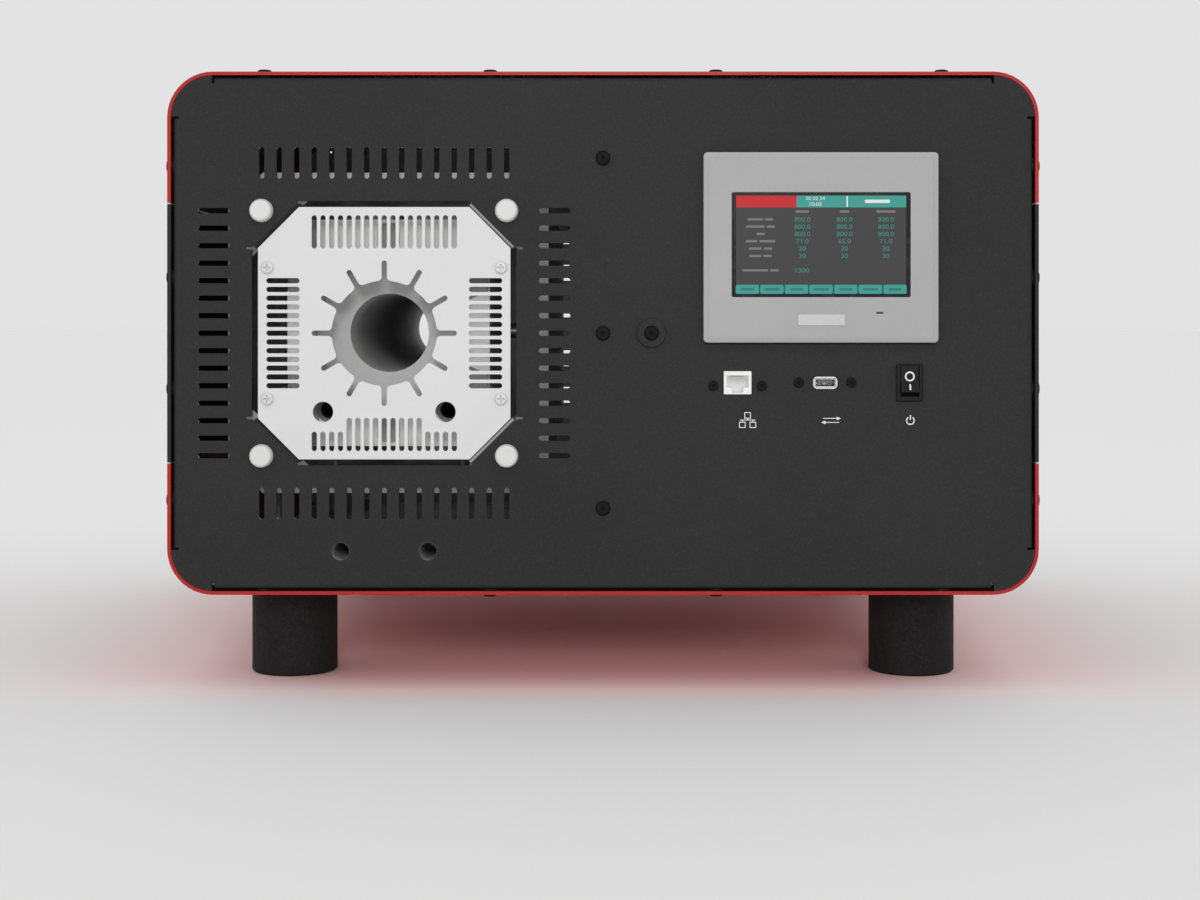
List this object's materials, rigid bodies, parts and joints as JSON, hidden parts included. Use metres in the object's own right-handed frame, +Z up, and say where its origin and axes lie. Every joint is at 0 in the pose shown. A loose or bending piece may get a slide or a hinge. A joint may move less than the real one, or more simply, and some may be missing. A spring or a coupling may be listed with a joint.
{
  "type": "thermocouple calibration furnace",
  "caption": "Bench-top horizontal tube furnace for checking thermocouples: red and dark case on round feet, vented white end plates round an open bore, touch display, ports and rocker switch.",
  "frame": {"origin": "under the middle of the case, on the surface that the feet stand on", "axes": "+X to the right seen from the front, +Y from the front panel to the back, +Z up"},
  "size_m": [0.5022, 0.497, 0.3551],
  "materials": {
    "red_paint": "satin",
    "dark_paint": "satin",
    "white_paint": "satin",
    "zinc_steel": "satin",
    "grey_paint": "matte",
    "black_steel": "satin",
    "bright_steel": "satin",
    "foot_rubber": "matte",
    "ceramic_body": "matte",
    "ceramic_board": "matte",
    "fibre_wool": "matte",
    "pad_board": "matte",
    "bezel_plastic": "satin",
    "screen_glass": "gloss",
    "black_plastic": "satin",
    "white_plastic": "satin",
    "contact_metal": "polished",
    "alloy": "satin",
    "grey_plastic": "satin"
  },
  "bodies": {
    "case": {"top_cover": "red_paint", "bottom_cover": "red_paint", "side_panel_left": "dark_paint", "side_panel_right": "dark_paint", "front_panel": "dark_paint", "rear_panel": "dark_paint", "chassis_floor": "zinc_steel", "divider_panel": "zinc_steel", "cover_screws": "black_steel", "panel_screws": "black_steel", "feet": "foot_rubber", "foot_bolts": "bright_steel", "shroud_lower": "zinc_steel", "shroud_upper": "zinc_steel", "shroud_frames": "grey_paint", "tie_rods": "bright_steel", "rod_spacers": "bright_steel", "corner_caps": "white_plastic", "furnace_stands": "zinc_steel", "core_casing_lower": "zinc_steel", "core_casing_upper": "zinc_steel", "core_stands": "zinc_steel", "insulation_lower": "fibre_wool", "insulation_upper": "fibre_wool", "end_boards": "ceramic_board", "clamp_pads": "pad_board", "end_rings": "ceramic_body", "work_tube": "ceramic_body", "heater_front": "ceramic_body", "heater_centre": "ceramic_body", "heater_rear": "ceramic_body", "control_probes": "bright_steel", "probe_pockets": "bright_steel", "end_plate_front": "white_paint", "end_plate_rear": "white_paint", "end_plate_brackets": "zinc_steel", "end_plate_screws": "bright_steel", "accessory_boss": "dark_paint", "rod_sockets": "bright_steel", "hmi_bezel": "bezel_plastic", "hmi_glass": "screen_glass", "hmi_rear_case": "black_plastic", "network_jack": "white_plastic", "data_surround": "white_plastic", "data_shell": "bright_steel", "contact_blades": "contact_metal", "port_screws": "black_steel", "switch_body": "black_plastic", "mains_inlet": "black_plastic", "fan_frame": "black_plastic", "fan_guard": "bright_steel", "relay_heat_sink": "alloy", "solid_state_relays": "black_plastic", "power_supply": "alloy", "din_rail": "zinc_steel", "control_modules": "grey_plastic"},
    "rocker": {"power_rocker": "black_plastic"},
    "fan": {"fan_rotor": "black_plastic"},
    "drawer": {"fuse_drawer": "black_plastic"}
  },
  "joints": [
    {"name": "rocker_tip", "type": "hinge", "parent": "case", "child": "rocker", "pos_m": [0.1751, -0.239, 0.1762], "axis": [1, 0, 0], "range_deg": [0, 24]},
    {"name": "fan_turn", "type": "hinge", "parent": "case", "child": "fan", "pos_m": [0.118, 0.2275, 0.2555], "axis": [0, 1, 0], "continuous": true},
    {"name": "drawer_slide", "type": "slide", "parent": "case", "child": "drawer", "axis": [0, 1, 0], "range_m": [0, 0.02]}
  ]
}
